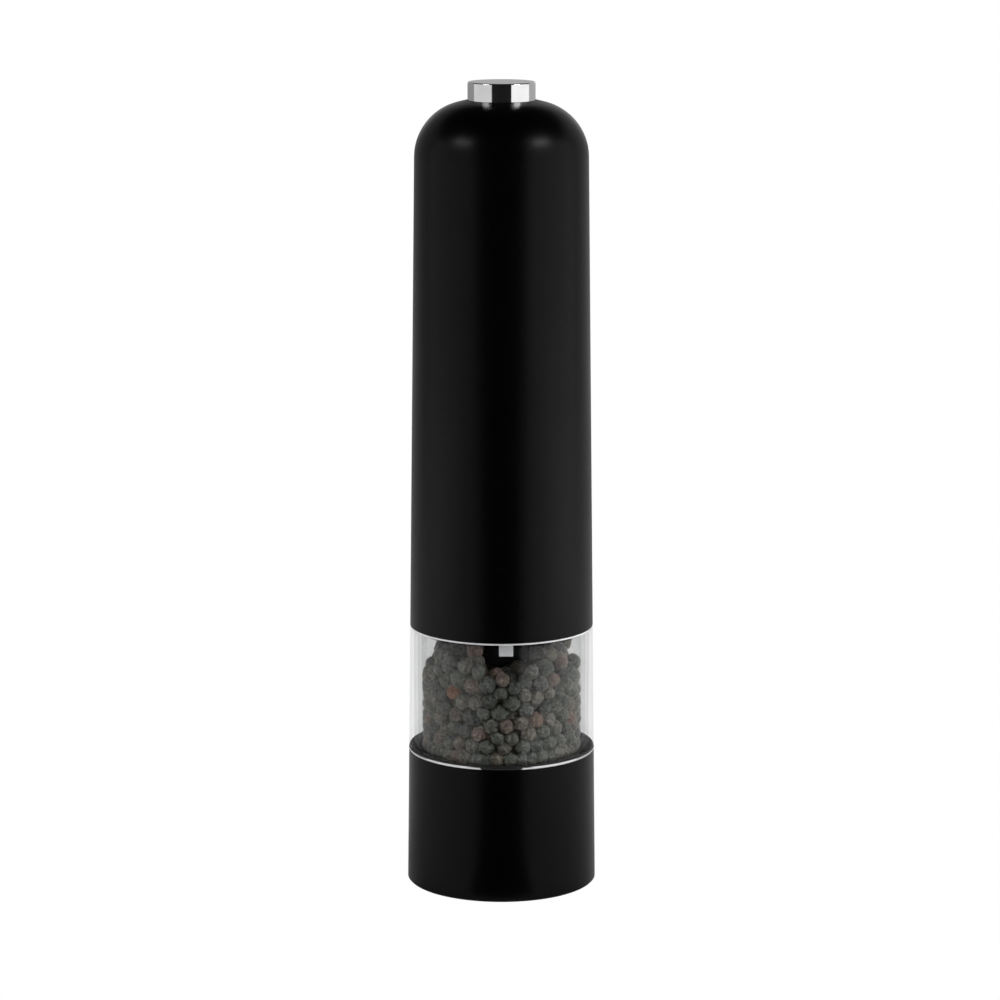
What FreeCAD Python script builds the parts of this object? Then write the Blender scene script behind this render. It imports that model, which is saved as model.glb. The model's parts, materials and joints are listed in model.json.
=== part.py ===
import FreeCAD, Part
import math
import os
from types import SimpleNamespace

import Sketcher

# A battery pepper mill, in mm. The origin is at the centre of the base rim, +Z is up and
# the front is -Y. Every size comes from the sheet below.

SIZES = {
    # Outside: a slightly tapered column with a domed top.
    "base_radius": 25.4,
    "wall_taper": 0.0125,
    "rim_bevel": 0.4,
    "base_top": 36.1,
    "trim_top": 36.7,
    "trim_proud": 0.06,
    "gasket_top": 37.1,
    "window_top": 69.6,
    "seal_low": 69.7,
    "seal_top": 70.15,
    "casing_low": 70.2,
    "casing_wall": 1.8,
    "shoulder_radius": 14.75,
    "shoulder_out": 8.21,
    "shoulder_up": 195.48,
    "crown_radius": 45.0,
    "crown_up": 166.36,
    "button_radius": 8.9,
    "button_top": 215.2,
    "button_hole": 9.2,
    # Base and grinder.
    "base_wall": 2.1,
    "deck_low": 30.6,
    "deck_top": 33.6,
    "barrel_inner": 14.6,
    "barrel_outer": 16.1,
    "barrel_low": 14.0,
    "throat_inner": 11.0,
    "throat_outer": 12.2,
    "band_inner": 22.75,
    "screw_circle": 19.2,
    "burr_seat": 12.7,
    "burr_low": 12.6,
    "burr_top": 24.2,
    "spider_low": 26.05,
    "spider_top": 29.2,
    "shaft_radius": 2.2,
    "hex_half": 2.0,
    "knob_radius": 8.5,
    "knob_low": 3.4,
    "knob_top": 10.9,
    # Pepper chamber.
    "window_inner": 23.5,
    "cup_outer": 22.5,
    "cup_inner": 21.45,
    "cup_floor": 35.2,
    "shoulder_top": 68.9,
    "neck_outer": 21.3,
    "neck_inner": 20.1,
    "neck_top": 76.7,
    "key_offset": 1.2,
    "key_width": 3.7,
    "key_low": 66.5,
    # Power unit.
    "plate_low": 77.0,
    "plate_top": 80.0,
    "plate_radius": 22.3,
    "nose_radius": 7.5,
    "nose_low": 60.5,
    "post_circle": 18.6,
    "post_radius": 2.3,
    "column_circle": 17.2,
    "gearbox_radius": 15.6,
    "gearbox_top": 97.0,
    "cover_top": 99.0,
    "gear_module": 0.6,
    "motor_radius": 12.2,
    "motor_top": 128.0,
    "holder_low": 134.0,
    "floor_top": 136.5,
    "holder_radius": 20.0,
    "boss_circle": 17.4,
    "cell_radius": 7.1,
    "cell_length": 49.2,
    "cell_offset": 7.7,
    "cap_low": 191.2,
    "cap_top": 193.4,
    "switch_top": 198.4,
    "lead_radius": 0.6,
    "lead_circle": 19.3,
    # Button.
    "retainer_low": 201.0,
    "retainer_top": 203.0,
    "sleeve_low": 206.3,
}


class Size:
    """A dimension: its value, and the sheet expression that drives it."""

    def __init__(self, value, text=None):
        self.value = float(value)
        self.text = text or repr(float(value))

    def joined(self, other, sign, value):
        return Size(value, "(" + self.text + " " + sign + " " + other.text + ")")

    def __add__(self, other):
        other = as_size(other)
        return self.joined(other, "+", self.value + other.value)

    def __sub__(self, other):
        other = as_size(other)
        return self.joined(other, "-", self.value - other.value)

    def __mul__(self, other):
        other = as_size(other)
        return self.joined(other, "*", self.value * other.value)

    def __truediv__(self, other):
        other = as_size(other)
        return self.joined(other, "/", self.value / other.value)

    def __neg__(self):
        return self * -1.0


def as_size(number):
    return number if isinstance(number, Size) else Size(number)


def root_of_difference(long_side, short_side):
    """The third side of a right-angled triangle."""
    value = math.sqrt(long_side.value**2 - short_side.value**2)
    return Size(value, "sqrt(" + long_side.text + " ^ 2 - " + short_side.text + " ^ 2)")


doc = FreeCAD.newDocument("pepper_mill")
sheet = doc.addObject("Spreadsheet::Sheet", "sizes")
for row, (word, number) in enumerate(SIZES.items(), start=1):
    sheet.set("A" + str(row), word)
    sheet.set("B" + str(row), str(number))
    sheet.setAlias("B" + str(row), word)
doc.recompute()
s = SimpleNamespace(**{word: Size(number, "sizes." + word) for word, number in SIZES.items()})
subparts = []


def wall(height):
    """The column's outer radius at a height."""
    return s.base_radius - s.wall_taper * height


# ---- Sketches and features ----


def new_body(label):
    body = doc.addObject("PartDesign::Body", label)
    body.Label = label
    return body


def plane_of(body, role):
    return [f for f in body.Origin.OriginFeatures if f.Role == role][0]


def sketch_on(body, role, offset=None):
    """A sketch on one of the body's own planes, moved along its normal by the offset."""
    sketch = body.newObject("Sketcher::SketchObject", body.Name + "_sketch")
    sketch.AttachmentSupport = [(plane_of(body, role), "")]
    sketch.MapMode = "FlatFace"
    if offset is not None:
        sketch.setExpression(".AttachmentOffset.Base.z", as_size(offset).text)
    return sketch


def dimension(sketch, size, kind, *where):
    """Add a dimension to a sketch and drive it from the sheet."""
    index = sketch.addConstraint(Sketcher.Constraint(kind, *where, size.value))
    name = "d" + str(index)
    sketch.renameConstraint(index, name)
    sketch.setExpression("Constraints." + name, size.text)


def bind(sketch, piece, end, x, y):
    """Fix one point of a sketch at x, y."""
    for size, kind, axis in ((x, "DistanceX", -2), (y, "DistanceY", -1)):
        if size.value == 0.0:
            sketch.addConstraint(Sketcher.Constraint("PointOnObject", piece, end, axis))
        else:
            dimension(sketch, size, kind, -1, 1, piece, end)


class Arc:
    """Stands between two corners: they are joined by an arc with its centre to the left or right."""

    def __init__(self, radius, left=True):
        self.radius = as_size(radius)
        self.left = left


def arc_geometry(start, end, arc):
    chord = end - start
    across = FreeCAD.Vector(-chord.y, chord.x, 0).normalize()
    rise = math.sqrt(arc.radius.value**2 - (chord.Length / 2) ** 2)
    centre = (start + end) / 2 + across * (rise if arc.left else -rise)
    first, last = (start, end) if arc.left else (end, start)
    angles = [math.atan2(p.y - centre.y, p.x - centre.x) for p in (first, last)]
    circle = Part.Circle(centre, FreeCAD.Vector(0, 0, 1), arc.radius.value)
    return Part.ArcOfCircle(circle, angles[0], angles[1])


def draw(sketch, items, closed=True):
    """Draw an outline through corners (x, y), with an Arc between two of them where it bends."""
    corners = []
    arcs = {}
    for item in items:
        if isinstance(item, Arc):
            arcs[len(corners) - 1] = item
        else:
            corners.append((as_size(item[0]), as_size(item[1])))
    count = len(corners)
    edges = count if closed else count - 1
    spots = [FreeCAD.Vector(x.value, y.value, 0) for x, y in corners]
    ends = []
    base = sketch.GeometryCount
    for k in range(edges):
        start, end = spots[k], spots[(k + 1) % count]
        arc = arcs.get(k)
        if arc is None:
            sketch.addGeometry(Part.LineSegment(start, end), False)
            ends.append((1, 2))
        else:
            sketch.addGeometry(arc_geometry(start, end, arc), False)
            ends.append((1, 2) if arc.left else (2, 1))
    for k in range(edges if closed else edges - 1):
        after = (k + 1) % edges
        joint = (base + k, ends[k][1], base + after, ends[after][0])
        sketch.addConstraint(Sketcher.Constraint("Coincident", *joint))
    for k in range(edges):
        bind(sketch, base + k, ends[k][0], *corners[k])
        if k in arcs:
            dimension(sketch, arcs[k].radius, "Radius", base + k)
    if not closed:
        bind(sketch, base + edges - 1, ends[-1][1], *corners[-1])


def draw_circle(sketch, x, y, radius):
    x, y, radius = as_size(x), as_size(y), as_size(radius)
    circle = Part.Circle(
        FreeCAD.Vector(x.value, y.value, 0), FreeCAD.Vector(0, 0, 1), radius.value
    )
    index = sketch.addGeometry(circle, False)
    bind(sketch, index, 3, x, y)
    dimension(sketch, radius, "Radius", index)


def finished(body, feature, grows):
    """Recompute, and make sure that the feature added or removed material."""
    before = 0.0
    if body.Tip is not None and body.Tip is not feature and not body.Tip.Shape.isNull():
        before = body.Tip.Shape.Volume
    elif feature.BaseFeature is not None:
        before = feature.BaseFeature.Shape.Volume
    doc.recompute()
    change = feature.Shape.Volume - before
    if (change > 0) != grows:
        raise ValueError(body.Label + ": " + feature.Name + " did not change the shape as meant")
    body.Tip = feature
    return feature


def revolved(body, items, cut=False):
    """Turn an outline of (radius, height) corners about the upright axis."""
    sketch = sketch_on(body, "XZ_Plane")
    draw(sketch, items)
    kind = "PartDesign::Groove" if cut else "PartDesign::Revolution"
    feature = body.newObject(kind, body.Name + "_turned")
    feature.Profile = sketch
    feature.ReferenceAxis = (sketch, ["V_Axis"])
    feature.Angle = 360.0
    return finished(body, feature, not cut)


def rectangle(x_low, y_low, x_high, y_high):
    return [(x_low, y_low), (x_high, y_low), (x_high, y_high), (x_low, y_high)]


def ring_outline(inner, outer, low, high):
    return rectangle(inner, low, outer, high)


def hexagon(half_width):
    """A hexagon with its flats this far from the centre, one corner on +X."""
    corner = as_size(half_width) / math.cos(math.radians(30))
    turns = [math.radians(60 * k) for k in range(6)]
    return [
        (corner * round(math.cos(a), 9) + 0.0, corner * round(math.sin(a), 9))
        if abs(math.sin(a)) > 1e-6
        else (corner * round(math.cos(a), 9), 0.0)
        for a in turns
    ]


def block(body, items, low, high, cut=False):
    """Raise an outline, or a list of circles, from low to high, or cut it away between them."""
    low, high = as_size(low), as_size(high)
    sketch = sketch_on(body, "XY_Plane", high if cut else low)
    if items and len(items[0]) == 3:
        for x, y, radius in items:
            draw_circle(sketch, x, y, radius)
    else:
        draw(sketch, items)
    kind = "PartDesign::Pocket" if cut else "PartDesign::Pad"
    feature = body.newObject(kind, body.Name + "_block")
    feature.Profile = sketch
    feature.setExpression("Length", (high - low).text)
    return finished(body, feature, not cut)


def slot_along(body, items, width):
    """Cut a slot whose outline is in the radius-height plane, as wide as given."""
    sketch = sketch_on(body, "XZ_Plane")
    draw(sketch, items)
    feature = body.newObject("PartDesign::Pocket", body.Name + "_slot")
    feature.Profile = sketch
    feature.SideType = "Symmetric"
    feature.setExpression("Length", as_size(width).text)
    return finished(body, feature, False)


def repeated(body, feature, count, grows):
    """Repeat a feature around the upright axis."""
    pattern = body.newObject("PartDesign::PolarPattern", body.Name + "_around")
    pattern.Originals = [feature]
    pattern.Axis = (plane_of(body, "Z_Axis"), [""])
    pattern.Angle = 360.0
    pattern.Occurrences = count
    return finished(body, pattern, grows)


def at_angle(distance, degrees):
    """A point (x, y) at a distance from the axis and an angle from +X."""
    point = []
    for share in (math.cos(math.radians(degrees)), math.sin(math.radians(degrees))):
        share = round(share, 9)
        point.append(Size(0.0) if share == 0 else as_size(distance) * share)
    return point


def place(item, x=0.0, y=0.0, z=0.0, turn=0.0, flip=False):
    """Move a sub-part to a point, turned about the upright axis and upside down if asked."""
    about_z = FreeCAD.Rotation(FreeCAD.Vector(0, 0, 1), turn)
    over = FreeCAD.Rotation(FreeCAD.Vector(1, 0, 0), 180.0 if flip else 0.0)
    sizes = [as_size(v) for v in (x, y, z)]
    base = FreeCAD.Vector(*[v.value for v in sizes])
    item.Placement = FreeCAD.Placement(base, about_z.multiply(over))
    for letter, size in zip("xyz", sizes):
        item.setExpression(".Placement.Base." + letter, size.text)
    return item


def part(item):
    """Count a finished object as a sub-part."""
    subparts.append(item)
    return item


def turned_part(label, items):
    body = new_body(label)
    revolved(body, items)
    return part(body)


def group(label, members):
    """Equal loose pieces kept together as one sub-part."""
    together = doc.addObject("Part::Compound", label)
    together.Label = label
    together.Links = members
    return part(together)


def screw(name, head, head_height, shank, length):
    """A pan-head screw with its bearing face at z 0 and its shank going down."""
    body = new_body(name)
    revolved(
        body,
        [
            (0.0, -length),
            (shank - 0.3, -length),
            (shank, -length + 0.3),
            (shank, 0.0),
            (head, 0.0),
            (head, head_height - 0.35),
            (head - 0.4, head_height),
            (0.0, head_height),
        ],
    )
    block(body, hexagon(head * 0.42), head_height * 0.4, head_height, cut=True)
    return body


def coil(name, mean, wire, low, high, turns):
    """A helical spring between two heights, with its wire wholly between them."""
    mean, wire, low, high = [as_size(v) for v in (mean, wire, low, high)]
    helix = doc.addObject("Part::Helix", name + "_line")
    helix.setExpression("Radius", mean.text)
    helix.setExpression("Height", (high - low - wire * 2.2).text)
    helix.setExpression("Pitch", ((high - low - wire * 2.2) / turns).text)
    helix.SegmentLength = 1.0
    section = doc.addObject("Part::Circle", name + "_wire")
    section.setExpression("Radius", wire.text)
    section.Placement = FreeCAD.Placement(
        FreeCAD.Vector(mean.value, 0, 0), FreeCAD.Rotation(FreeCAD.Vector(1, 0, 0), 90)
    )
    section.setExpression(".Placement.Base.x", mean.text)
    spring = doc.addObject("Part::Sweep", name)
    spring.Label = name
    spring.Sections = [section]
    spring.Spine = (helix, [])
    spring.Solid = True
    spring.Frenet = True
    place(spring, z=low + wire * 1.1)
    return spring


# ---- Gear teeth: involute flanks at 20 degrees, in units of the module ----


def involute(angle):
    return math.tan(angle) - angle


def half_tooth(teeth, radius, thickness):
    """Half the angle that a tooth fills at a radius, from its thickness on the pitch circle."""
    pitch = teeth / 2.0
    pressure = math.radians(20)
    foot = pitch * math.cos(pressure)
    here = math.acos(foot / radius) if radius > foot else 0.0
    return thickness / (2 * pitch) + involute(pressure) - involute(here)


def polar_outline(radii, half_angles, centre):
    """A closed outline, symmetrical about the centre angle, scaled by the gear module."""
    sides = [(r, centre + a) for r, a in zip(radii, half_angles)]
    sides += [(r, centre - a) for r, a in reversed(list(zip(radii, half_angles)))]
    outline = []
    for r, a in sides:
        x, y = round(r * math.cos(a), 7), round(r * math.sin(a), 7)
        outline.append((s.gear_module * x, s.gear_module * y if y else 0.0))
    return outline


ADDENDUM = 0.7
DEDENDUM = 1.0
TOOTH = math.pi / 2 - 0.2
RING_TEETH = 42
PLANET_TEETH = 15
SUN_TEETH = 12
PLANET_PLACES = (0, 120, 240)


def outer_gear(body, teeth, low, high):
    """An external gear with a tooth on +X."""
    pitch = teeth / 2.0
    tip = pitch + ADDENDUM
    block(body, [(0.0, 0.0, s.gear_module * tip)], low, high)
    radii = [pitch - DEDENDUM, pitch - 0.4, pitch, pitch + 0.4, tip, tip + 0.4]
    gaps = [math.pi / teeth - half_tooth(teeth, min(r, tip), TOOTH) for r in radii]
    outline = polar_outline(radii, gaps, math.pi / teeth)
    return repeated(body, block(body, outline, low, high, cut=True), teeth, False)


def ring_spaces(body, low, high):
    """The tooth spaces of the ring gear, one of them on +X."""
    pitch = RING_TEETH / 2.0
    radii = [pitch - 1.1, pitch - ADDENDUM, pitch, pitch + 0.5, pitch + DEDENDUM]
    wide = [half_tooth(RING_TEETH, max(r, pitch - ADDENDUM), math.pi / 2 + 0.1) for r in radii]
    outline = polar_outline(radii, wide, 0.0)
    return repeated(body, block(body, outline, low, high, cut=True), RING_TEETH, False)


planet_orbit = s.gear_module * ((SUN_TEETH + PLANET_TEETH) / 2.0)


def planet(label, low, high, pin, degrees):
    body = new_body(label)
    outer_gear(body, PLANET_TEETH, 0.0, as_size(high) - low)
    block(body, [(0.0, 0.0, as_size(pin) + 0.05)], -0.1, as_size(high) - low + 0.1, cut=True)
    x, y = at_angle(planet_orbit, degrees)
    return part(place(body, x, y, low, turn=degrees))


# ---- Lower part: base, grinder seat, chamber ----

base = new_body("base_housing")
revolved(
    base,
    [
        (s.base_radius - s.rim_bevel, 0.0),
        (s.base_radius, s.rim_bevel),
        (wall(s.base_top), s.base_top),
        (s.band_inner, s.base_top),
        (s.band_inner, s.deck_top),
        (s.throat_outer + 0.2, s.deck_top),
        (s.throat_outer + 0.2, s.deck_low),
        (s.barrel_inner, s.deck_low),
        (s.barrel_inner, s.barrel_low),
        (s.barrel_outer, s.barrel_low),
        (s.barrel_outer, s.deck_low),
        (wall(s.deck_low) - s.base_wall, s.deck_low),
        (s.base_radius - s.base_wall, s.rim_bevel),
        (s.base_radius - s.base_wall + 0.3, 0.0),
    ],
)
boss = block(base, [(*at_angle(s.screw_circle, 0), 2.3)], s.barrel_low, s.deck_low)
repeated(base, boss, 3, True)
pilot = block(
    base, [(*at_angle(s.screw_circle, 0), 1.0)], s.barrel_low, s.barrel_low + 6.0, cut=True
)
repeated(base, pilot, 3, False)
deck_hole = block(base, [(*at_angle(s.screw_circle, 60), 2.1)], s.deck_low, s.deck_top, cut=True)
repeated(base, deck_hole, 3, False)
part(base)

turned_part(
    "trim_ring",
    [
        (s.band_inner, s.base_top),
        (wall(s.base_top), s.base_top),
        (wall(s.base_top) + s.trim_proud, s.base_top + 0.12),
        (wall(s.base_top) + s.trim_proud, s.trim_top - 0.12),
        (wall(s.base_top), s.trim_top),
        (s.band_inner, s.trim_top),
    ],
)
gasket_outer = wall(s.trim_top) - 0.25
turned_part(
    "base_gasket", ring_outline(gasket_outer - 0.6, gasket_outer, s.trim_top, s.gasket_top)
)

key_left = s.key_offset - s.key_width / 2.0
key_right = s.key_offset + s.key_width / 2.0
window = new_body("window_tube")
revolved(
    window,
    [
        (s.window_inner, s.gasket_top),
        (wall(s.gasket_top) - 0.05, s.gasket_top),
        (wall(s.window_top) - 0.05, s.window_top),
        (s.neck_outer + 0.15, s.window_top),
        (s.neck_outer + 0.15, s.shoulder_top),
        (s.window_inner, s.shoulder_top),
    ],
)
key_slot = rectangle(key_left - 0.2, -(s.window_inner - 0.25), key_right + 0.2, -s.neck_outer)
block(window, key_slot, s.shoulder_top - 0.1, s.window_top, cut=True)
part(window)

cup = new_body("pepper_cup")
revolved(
    cup,
    [
        (s.throat_inner, s.spider_top + 0.1),
        (s.throat_outer, s.spider_top + 0.1),
        (s.throat_outer, s.deck_top + 0.05),
        (s.cup_outer, s.deck_top + 0.05),
        (s.cup_outer, s.shoulder_top),
        (s.neck_outer, s.shoulder_top),
        (s.neck_outer, s.neck_top),
        (s.neck_inner, s.neck_top),
        (s.neck_inner, s.shoulder_top - 0.8),
        (s.cup_inner, s.shoulder_top - 0.8),
        (s.cup_inner, s.cup_floor),
        (s.throat_inner, s.cup_floor - 0.5),
    ],
)
foot = block(cup, [(*at_angle(s.screw_circle, 60), 1.95)], s.deck_low, s.deck_top + 0.4)
repeated(cup, foot, 3, True)
foot_pilot = block(
    cup, [(*at_angle(s.screw_circle, 60), 1.0)], s.deck_low, s.deck_low + 4.0, cut=True
)
repeated(cup, foot_pilot, 3, False)
part(cup)

holder_flange = s.barrel_low - 0.1
ring_holder = new_body("ring_holder")
revolved(
    ring_holder,
    [
        (s.burr_seat + 0.05, holder_flange - 1.5),
        (s.screw_circle + 2.4, holder_flange - 1.5),
        (s.screw_circle + 2.4, holder_flange),
        (s.barrel_inner - 0.2, holder_flange),
        (s.barrel_inner - 0.2, s.deck_low - 0.3),
        (s.throat_outer + 0.25, s.deck_low - 0.3),
        (s.throat_outer + 0.25, s.spider_low - 0.05),
        (11.2, s.spider_low - 0.05),
        (11.2, s.burr_top + 0.1),
        (s.burr_seat + 0.05, s.burr_top + 0.1),
    ],
)
flange_hole = block(
    ring_holder,
    [(*at_angle(s.screw_circle, 0), 1.4)],
    holder_flange - 1.6,
    holder_flange + 0.1,
    cut=True,
)
repeated(ring_holder, flange_hole, 3, False)
part(ring_holder)

burr_ring = new_body("burr_ring")
revolved(
    burr_ring,
    [
        (9.9, s.burr_low),
        (s.burr_seat, s.burr_low),
        (s.burr_seat, s.burr_top),
        (7.6, s.burr_top),
    ],
)
ring_groove = slot_along(
    burr_ring,
    [
        (9.0, s.burr_low - 0.3),
        (10.5, s.burr_low - 0.3),
        (8.5, s.burr_top + 0.3),
        (6.5, s.burr_top + 0.3),
    ],
    0.9,
)
repeated(burr_ring, ring_groove, 24, False)
part(burr_ring)

spider = new_body("feed_spider")
revolved(spider, ring_outline(11.2, s.throat_outer + 0.2, s.spider_low, s.spider_top))
arm = block(spider, rectangle(4.0, -1.0, 11.6, 1.0), s.spider_low, s.spider_top)
repeated(spider, arm, 3, True)
revolved(spider, ring_outline(3.5, 5.0, s.spider_low - 0.7, s.spider_top + 0.5))
part(place(spider, turn=90.0))
turned_part(
    "shaft_bush",
    ring_outline(s.shaft_radius + 0.05, 3.45, s.spider_low - 0.9, s.spider_top + 0.7),
)

base_screws = []
for number in range(3):
    x, y = at_angle(s.screw_circle, 120 * number)
    body = screw("base_screw_" + str(number), 2.4, 1.4, 0.95, 3.9)
    base_screws.append(place(body, x, y, holder_flange - 1.5, flip=True))
for number in range(3):
    x, y = at_angle(s.screw_circle, 60 + 120 * number)
    body = screw("cup_screw_" + str(number), 2.4, 1.4, 0.95, 3.9)
    base_screws.append(place(body, x, y, s.deck_low, flip=True))
group("base_screws", base_screws)

# ---- Drive line: shaft, hexagon, clips ----

clip_heights = (24.4, 30.1)
shaft = new_body("drive_shaft")
shaft_steps = [(0.0, 4.2), (1.7, 4.2), (1.95, 4.5), (1.95, 23.9), (s.shaft_radius, 23.9)]
for height in clip_heights:
    shaft_steps += [
        (s.shaft_radius, height - 0.05),
        (1.8, height - 0.05),
        (1.8, height + 0.65),
        (s.shaft_radius, height + 0.65),
    ]
shaft_steps += [(s.shaft_radius, 62.4), (1.45, 62.4), (1.45, 69.0), (0.0, 69.0)]
revolved(shaft, shaft_steps)
block(shaft, hexagon(s.hex_half), 11.7, 23.9)
part(shaft)

dog = new_body("drive_dog")
block(dog, hexagon(2.5), 62.5, 69.4)
block(dog, [(0.0, 0.0, 1.5)], 62.4, 69.1, cut=True)
part(dog)

clips = []
for number, height in enumerate(clip_heights):
    clip = new_body("shaft_clip_" + str(number))
    revolved(clip, ring_outline(1.85, 4.0, 0.0, 0.6))
    block(clip, rectangle(0.0, -1.3, 4.2, 1.3), -0.1, 0.7, cut=True)
    clips.append(place(clip, z=height))
group("shaft_clips", clips)

# ---- Moving burr and its adjuster ----

burr_cone = new_body("burr_cone")
revolved(
    burr_cone,
    [(3.6, s.burr_low), (9.45, s.burr_low), (9.45, s.burr_low + 1.0), (5.2, 23.4), (3.6, 23.4)],
)
cone_groove = slot_along(
    burr_cone,
    [(8.9, s.burr_low - 0.3), (10.4, s.burr_low - 0.3), (6.4, 23.9), (4.3, 23.9)],
    1.0,
)
repeated(burr_cone, cone_groove, 16, False)
part(burr_cone)

hub = new_body("cone_hub")
revolved(hub, [(0.0, 11.0), (6.0, 11.0), (6.0, 12.5), (3.55, 12.5), (3.55, 17.0), (0.0, 17.0)])
block(hub, hexagon(s.hex_half + 0.05), 10.9, 17.1, cut=True)
part(hub)
part(coil("grind_spring", 2.9, 0.35, 17.0, 24.3, 4.0))

knob = new_body("adjust_knob")
revolved(
    knob,
    [
        (2.4, s.knob_low),
        (s.knob_radius - 0.7, s.knob_low),
        (s.knob_radius, s.knob_low + 0.7),
        (s.knob_radius, s.knob_top - 0.4),
        (s.knob_radius - 0.4, s.knob_top),
        (2.4, s.knob_top),
    ],
)
block(knob, hexagon(3.55), 7.6, s.knob_top, cut=True)
scallop = block(
    knob, [(s.knob_radius + 0.7, 0.0, 1.3)], s.knob_low - 0.1, s.knob_top + 0.1, cut=True
)
repeated(knob, scallop, 12, False)
part(knob)

nut = new_body("knob_nut")
block(nut, hexagon(3.5), 7.65, s.knob_top)
block(nut, [(0.0, 0.0, 2.0)], 7.6, s.knob_top + 0.1, cut=True)
part(nut)

# ---- Power unit: chassis, gearbox, motor ----

seal = new_body("rim_seal")
revolved(seal, ring_outline(s.neck_outer + 0.05, wall(s.seal_top) - 0.15, s.seal_low, s.seal_top))
key = rectangle(key_left, -(s.window_inner - 0.35), key_right, -(s.cup_outer + 0.15))
block(seal, key, s.key_low, s.seal_low + 0.2)
part(seal)

chassis = new_body("chassis_plate")
revolved(
    chassis,
    [
        (5.0, s.nose_low),
        (s.nose_radius - 0.5, s.nose_low),
        (s.nose_radius, s.nose_low + 0.5),
        (s.nose_radius, s.plate_low),
        (s.neck_outer + 0.2, s.plate_low),
        (s.neck_outer + 0.2, s.seal_top),
        (s.plate_radius, s.seal_top),
        (s.plate_radius, s.plate_top),
        (6.2, s.plate_top),
        (6.2, s.plate_low - 1.0),
        (5.0, s.plate_low - 1.0),
    ],
)
post = block(chassis, [(*at_angle(s.post_circle, 0), s.post_radius)], s.plate_top, s.holder_low)
repeated(chassis, post, 4, True)
snap = block(
    chassis,
    rectangle(-2.0, s.plate_radius - 0.8, 2.0, s.plate_radius + 0.45),
    s.plate_low + 0.9,
    s.plate_low + 2.1,
)
repeated(chassis, snap, 3, True)
notch = block(
    chassis,
    rectangle(21.0, -1.2, s.plate_radius + 0.2, 1.2),
    s.plate_low - 0.1,
    s.plate_top + 0.1,
    cut=True,
)
repeated(chassis, notch, 2, False)
plate_hole = block(
    chassis,
    [(*at_angle(s.column_circle, 45), 1.05)],
    s.plate_low + 0.5,
    s.plate_top + 0.1,
    cut=True,
)
repeated(chassis, plate_hole, 4, False)
post_hole = block(
    chassis,
    [(*at_angle(s.post_circle, 90), 1.25)],
    s.holder_low - 8.0,
    s.holder_low + 0.1,
    cut=True,
)
repeated(chassis, post_hole, 2, False)
part(chassis)

turned_part(
    "output_bearing",
    [
        (4.05, s.plate_low - 1.0),
        (6.15, s.plate_low - 1.0),
        (6.15, s.plate_top),
        (7.3, s.plate_top),
        (7.3, s.plate_top + 0.6),
        (4.05, s.plate_top + 0.6),
    ],
)

ring_tip = s.gear_module * (RING_TEETH / 2.0 - ADDENDUM)
gearbox = new_body("gearbox_housing")
revolved(gearbox, ring_outline(ring_tip, s.gearbox_radius, s.plate_top, s.gearbox_top))
column = block(
    gearbox, [(*at_angle(s.column_circle, 45), s.post_radius)], s.plate_top, s.gearbox_top
)
repeated(gearbox, column, 4, True)
column_hole = block(
    gearbox,
    [(*at_angle(s.column_circle, 45), 1.1)],
    s.plate_top - 0.1,
    s.gearbox_top + 0.1,
    cut=True,
)
repeated(gearbox, column_hole, 4, False)
ring_spaces(gearbox, s.plate_top, s.gearbox_top)
part(gearbox)

cover = new_body("gearbox_cover")
revolved(cover, ring_outline(4.0, s.gearbox_radius, s.gearbox_top, s.cover_top))
ear = block(cover, [(*at_angle(s.column_circle, 45), s.post_radius)], s.gearbox_top, s.cover_top)
repeated(cover, ear, 4, True)
ear_hole = block(
    cover,
    [(*at_angle(s.column_circle, 45), 1.1)],
    s.gearbox_top - 0.1,
    s.cover_top + 0.1,
    cut=True,
)
repeated(cover, ear_hole, 4, False)
for depth, radius in ((1.2, 2.1), (2.1, 1.1)):
    motor_hole = block(
        cover,
        [(*at_angle(8.0, 0), radius)],
        s.gearbox_top - 0.1,
        s.gearbox_top + depth,
        cut=True,
    )
    repeated(cover, motor_hole, 2, False)
part(cover)

gearbox_screws = []
for number in range(4):
    x, y = at_angle(s.column_circle, 45 + 90 * number)
    body = screw("gearbox_screw_" + str(number), 1.9, 1.3, 1.0, 21.0)
    gearbox_screws.append(place(body, x, y, s.cover_top))
group("gearbox_screws", gearbox_screws)

can = new_body("motor_can")
revolved(
    can,
    [
        (1.06, s.cover_top - 1.4),
        (3.9, s.cover_top - 1.4),
        (3.9, s.cover_top),
        (s.motor_radius - 0.6, s.cover_top),
        (s.motor_radius, s.cover_top + 0.6),
        (s.motor_radius, s.motor_top),
        (s.motor_radius - 0.9, s.motor_top),
        (s.motor_radius - 0.9, s.cover_top + 1.0),
        (1.06, s.cover_top + 1.0),
    ],
)
can_hole = block(
    can, [(*at_angle(8.0, 0), 0.95)], s.cover_top - 0.1, s.cover_top + 1.1, cut=True
)
repeated(can, can_hole, 2, False)
part(can)

turned_part(
    "motor_end_cap",
    [
        (1.06, s.motor_top - 1.5),
        (s.motor_radius - 1.0, s.motor_top - 1.5),
        (s.motor_radius - 1.0, s.motor_top),
        (s.motor_radius, s.motor_top),
        (s.motor_radius - 0.4, s.motor_top + 2.0),
        (1.06, s.motor_top + 2.0),
    ],
)

magnet_inner, magnet_outer = 9.5, 11.2
magnet_low = 102.0
magnet_reach = 62
magnets = []
for number in range(2):
    magnet = new_body("magnet_" + str(number))
    outer = [at_angle(magnet_outer, sign * magnet_reach) for sign in (-1, 1)]
    inner = [at_angle(magnet_inner, sign * magnet_reach) for sign in (1, -1)]
    outline = [outer[0], Arc(magnet_outer), outer[1], inner[0], Arc(magnet_inner, left=False), inner[1]]
    block(magnet, outline, magnet_low, magnet_low + 20.0)
    magnets.append(place(magnet, turn=180.0 * number))
group("motor_magnets", magnets)

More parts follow.
